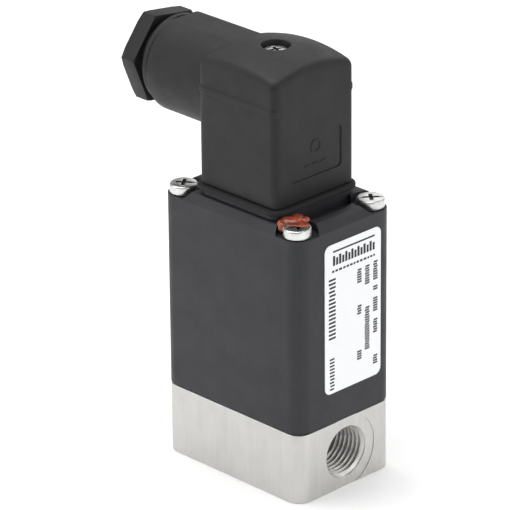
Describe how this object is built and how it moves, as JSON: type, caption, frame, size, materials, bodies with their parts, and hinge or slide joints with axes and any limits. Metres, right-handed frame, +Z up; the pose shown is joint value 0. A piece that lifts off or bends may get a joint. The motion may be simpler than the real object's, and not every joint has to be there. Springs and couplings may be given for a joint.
{
  "type": "solenoid valve",
  "caption": "Direct-acting three-port solenoid valve: stainless body block, black coil housing and an angled cable plug with a hexagonal cable gland on top.",
  "frame": {"origin": "centre of the valve body's bottom face", "axes": "+Z up out of the bottom face towards the plug; +X along the long side towards the inlet port under the label; -X towards the cable gland; +Y towards the third port"},
  "size_m": [0.0637, 0.032, 0.1068],
  "materials": {
    "stainless": "fine blasted stainless steel, satin",
    "magnet_steel": "turned and milled soft magnetic steel",
    "plated_steel": "bright zinc or nickel plate",
    "spring_steel": "drawn spring wire",
    "brass": "machined brass",
    "copper": "enamelled copper wire",
    "housing_plastic": "matt moulded black resin",
    "hood_plastic": "matt moulded black polyamide",
    "carrier_plastic": "moulded dark polyamide",
    "bobbin_plastic": "natural polyamide",
    "gasket_rubber": "matt black rubber",
    "seal_rubber": "dark brown fluoro rubber",
    "lacquer": "brushed-on red sealing lacquer",
    "label_film": "satin white film with plain printed bars"
  },
  "bodies": {
    "valve": {"valve_body": "stainless", "diaphragm": "seal_rubber", "armature_frame": "brass", "armature_pin": "spring_steel", "return_spring": "spring_steel", "pole_core": "magnet_steel", "yoke": "magnet_steel", "coil_bobbin": "bobbin_plastic", "coil_winding": "copper", "coil_lead_1": "copper", "coil_lead_2": "copper", "coil_housing": "housing_plastic", "housing_screw_1": "plated_steel", "housing_screw_2": "plated_steel", "housing_screw_3": "plated_steel", "housing_screw_4": "plated_steel", "seal_lacquer": "lacquer", "rating_label": "label_film", "terminal_blade_1": "plated_steel", "terminal_blade_2": "plated_steel", "earth_blade": "plated_steel", "threaded_insert": "brass", "plug_gasket": "gasket_rubber"},
    "armature": {"armature": "magnet_steel"},
    "plug": {"plug_hood": "hood_plastic", "contact_carrier": "carrier_plastic", "terminal_contact_1": "brass", "terminal_contact_2": "brass", "earth_contact": "brass", "clamp_screw_1": "plated_steel", "clamp_screw_2": "plated_steel", "clamp_screw_3": "plated_steel", "gland_grommet": "gasket_rubber"},
    "screw_washer": {"screw_washer": "gasket_rubber"},
    "plug_screw": {"plug_screw": "plated_steel"},
    "gland_washer": {"gland_washer": "carrier_plastic"},
    "gland_nut": {"gland_nut": "hood_plastic"}
  },
  "joints": [
    {"name": "armature_tilt", "type": "hinge", "parent": "valve", "child": "armature", "pos_m": [0, 0, 0.0225], "axis": [0, -1, 0], "range_deg": [0, 4], "stiffness_Nm_per_rad": 0.022, "springref_deg": -28.65, "deforming": ["return_spring", "diaphragm"]},
    {"name": "plug_lift", "type": "slide", "parent": "valve", "child": "plug", "axis": [0, 0, 1], "range_m": [0, 0.03]},
    {"name": "plug_screw_rise", "type": "slide", "parent": "plug", "child": "screw_washer", "axis": [0, 0, 1], "range_m": [0, 0.005]},
    {"name": "plug_screw_turn", "type": "hinge", "parent": "screw_washer", "child": "plug_screw", "pos_m": [0, 0, 0.10355], "axis": [0, 0, 1], "range_deg": [0, 3600]},
    {"name": "gland_travel", "type": "slide", "parent": "plug", "child": "gland_washer", "axis": [-1, 0, 0], "range_m": [0, 0.006]},
    {"name": "gland_nut_turn", "type": "hinge", "parent": "gland_washer", "child": "gland_nut", "pos_m": [-0.0365, 0, 0.0944], "axis": [-1, 0, 0], "range_deg": [0, 1440]}
  ],
  "couplings": [
    {"joint": "plug_screw_turn", "follows": "plug_screw_rise", "rad_per_m": 12566},
    {"joint": "gland_travel", "follows": "gland_nut_turn", "m_per_rad": 0.0002387}
  ]
}
